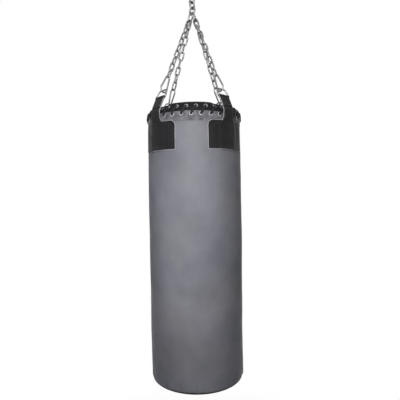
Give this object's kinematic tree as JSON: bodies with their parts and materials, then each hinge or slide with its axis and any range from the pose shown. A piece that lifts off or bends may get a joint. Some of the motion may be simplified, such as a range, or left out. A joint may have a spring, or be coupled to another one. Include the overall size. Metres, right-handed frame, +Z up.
{
  "type": "punching bag",
  "caption": "Tall round leather punching bag, laced shut under a soft lid and hung by sewn straps, D-rings, snap hooks and chain legs from a swivel, for striking practice.",
  "frame": {"origin": "the point inside the swivel's upper eye where the hook or shackle that carries the bag bears; the whole object hangs below it", "axes": "+Z up the hanging axis of the bag; -Y is the side that faces the viewer, +X is the viewer's right; the legs of the sling stand at 45 degrees to X and Y"},
  "size_m": [0.3594, 0.3594, 1.5169],
  "materials": {
    "grey_leather": "satin",
    "black_leather": "satin",
    "webbing": "matte",
    "zinc_steel": "satin",
    "lace_cord": "matte",
    "foam": "matte",
    "textile": "matte"
  },
  "bodies": {
    "hanger": {"swivel_eye": "zinc_steel"},
    "bow": {"swivel_bow": "zinc_steel"},
    "upper_link": {"top_link_upper": "zinc_steel"},
    "middle_link": {"top_link_middle": "zinc_steel"},
    "apex": {"apex_link": "zinc_steel"},
    "bag": {"yoke_link_right": "zinc_steel", "yoke_link_left": "zinc_steel", "chain_front_right_1": "zinc_steel", "chain_front_right_2": "zinc_steel", "chain_front_right_3": "zinc_steel", "chain_front_right_4": "zinc_steel", "chain_front_right_5": "zinc_steel", "chain_front_left_1": "zinc_steel", "chain_front_left_2": "zinc_steel", "chain_front_left_3": "zinc_steel", "chain_front_left_4": "zinc_steel", "chain_front_left_5": "zinc_steel", "chain_back_right_1": "zinc_steel", "chain_back_right_2": "zinc_steel", "chain_back_right_3": "zinc_steel", "chain_back_right_4": "zinc_steel", "chain_back_right_5": "zinc_steel", "chain_back_left_1": "zinc_steel", "chain_back_left_2": "zinc_steel", "chain_back_left_3": "zinc_steel", "chain_back_left_4": "zinc_steel", "chain_back_left_5": "zinc_steel", "d_ring_front_right": "zinc_steel", "d_ring_front_left": "zinc_steel", "d_ring_back_right": "zinc_steel", "d_ring_back_left": "zinc_steel", "strap_front_right": "webbing", "strap_front_left": "webbing", "strap_back_right": "webbing", "strap_back_left": "webbing", "patch_front_right": "black_leather", "patch_front_left": "black_leather", "patch_back_right": "black_leather", "patch_back_left": "black_leather", "top_band": "grey_leather", "lid": "black_leather", "lace": "lace_cord", "outer_shell": "grey_leather", "base_panel": "grey_leather", "foam_liner": "foam", "filling": "textile", "inner_flap": "black_leather"},
    "hook_front_right": {"snap_hook_front_right": "zinc_steel"},
    "hook_front_left": {"snap_hook_front_left": "zinc_steel"},
    "hook_back_right": {"snap_hook_back_right": "zinc_steel"},
    "hook_back_left": {"snap_hook_back_left": "zinc_steel"},
    "gate_front_right": {"hook_gate_front_right": "zinc_steel"},
    "gate_front_left": {"hook_gate_front_left": "zinc_steel"},
    "gate_back_right": {"hook_gate_back_right": "zinc_steel"},
    "gate_back_left": {"hook_gate_back_left": "zinc_steel"}
  },
  "joints": [
    {"name": "swivel_spin", "type": "hinge", "parent": "hanger", "child": "bow", "pos_m": [0, 0, -0.04], "axis": [0, 0, 1], "continuous": true},
    {"name": "upper_link_swing", "type": "hinge", "parent": "bow", "child": "upper_link", "pos_m": [0, 0, -0.07565], "axis": [0.6157, 0.788, 0], "range_deg": [-25, 25]},
    {"name": "middle_link_swing", "type": "hinge", "parent": "upper_link", "child": "middle_link", "pos_m": [0, 0, -0.09685], "axis": [0.788, -0.6157, 0], "range_deg": [-25, 25]},
    {"name": "apex_link_swing", "type": "hinge", "parent": "middle_link", "child": "apex", "pos_m": [0, 0, -0.11855], "axis": [0.6157, 0.788, 0], "range_deg": [-25, 25]},
    {"name": "bag_swing", "type": "hinge", "parent": "apex", "child": "bag", "pos_m": [0, 0, -0.13812], "axis": [0.788, -0.6157, 0], "range_deg": [-18, 18]},
    {"name": "hook_turn_front_right", "type": "hinge", "parent": "bag", "child": "hook_front_right", "pos_m": [0.08631, -0.08439, -0.40103], "axis": [-0.2884, 0.3013, 0.9089], "range_deg": [-12, 12]},
    {"name": "hook_turn_front_left", "type": "hinge", "parent": "bag", "child": "hook_front_left", "pos_m": [-0.0869, -0.08269, -0.40005], "axis": [0.2821, 0.3102, 0.9078], "range_deg": [-12, 12]},
    {"name": "hook_turn_back_right", "type": "hinge", "parent": "bag", "child": "hook_back_right", "pos_m": [0.0869, 0.08269, -0.40005], "axis": [-0.2821, -0.3102, 0.9078], "range_deg": [-12, 12]},
    {"name": "hook_turn_back_left", "type": "hinge", "parent": "bag", "child": "hook_back_left", "pos_m": [-0.08631, 0.08439, -0.40103], "axis": [0.2884, -0.3013, 0.9089], "range_deg": [-12, 12]},
    {"name": "gate_open_front_right", "type": "hinge", "parent": "hook_front_right", "child": "gate_front_right", "pos_m": [0.09384, -0.09203, -0.40548], "axis": [0.7098, 0.7044, -0.0083], "range_deg": [0, 22], "stiffness_Nm_per_rad": 0.05, "springref_deg": -20.05},
    {"name": "gate_open_front_left", "type": "hinge", "parent": "hook_front_left", "child": "gate_front_left", "pos_m": [-0.09436, -0.09039, -0.40448], "axis": [0.7129, -0.7011, 0.0181], "range_deg": [0, 22], "stiffness_Nm_per_rad": 0.05, "springref_deg": -20.05},
    {"name": "gate_open_back_right", "type": "hinge", "parent": "hook_back_right", "child": "gate_back_right", "pos_m": [0.10668, 0.10393, -0.44412], "axis": [0.7129, -0.7011, -0.0181], "range_deg": [0, 22], "stiffness_Nm_per_rad": 0.05, "springref_deg": -20.05},
    {"name": "gate_open_back_left", "type": "hinge", "parent": "hook_back_left", "child": "gate_back_left", "pos_m": [-0.10643, 0.10518, -0.44517], "axis": [0.7098, 0.7044, 0.0083], "range_deg": [0, 22], "stiffness_Nm_per_rad": 0.05, "springref_deg": -20.05}
  ]
}
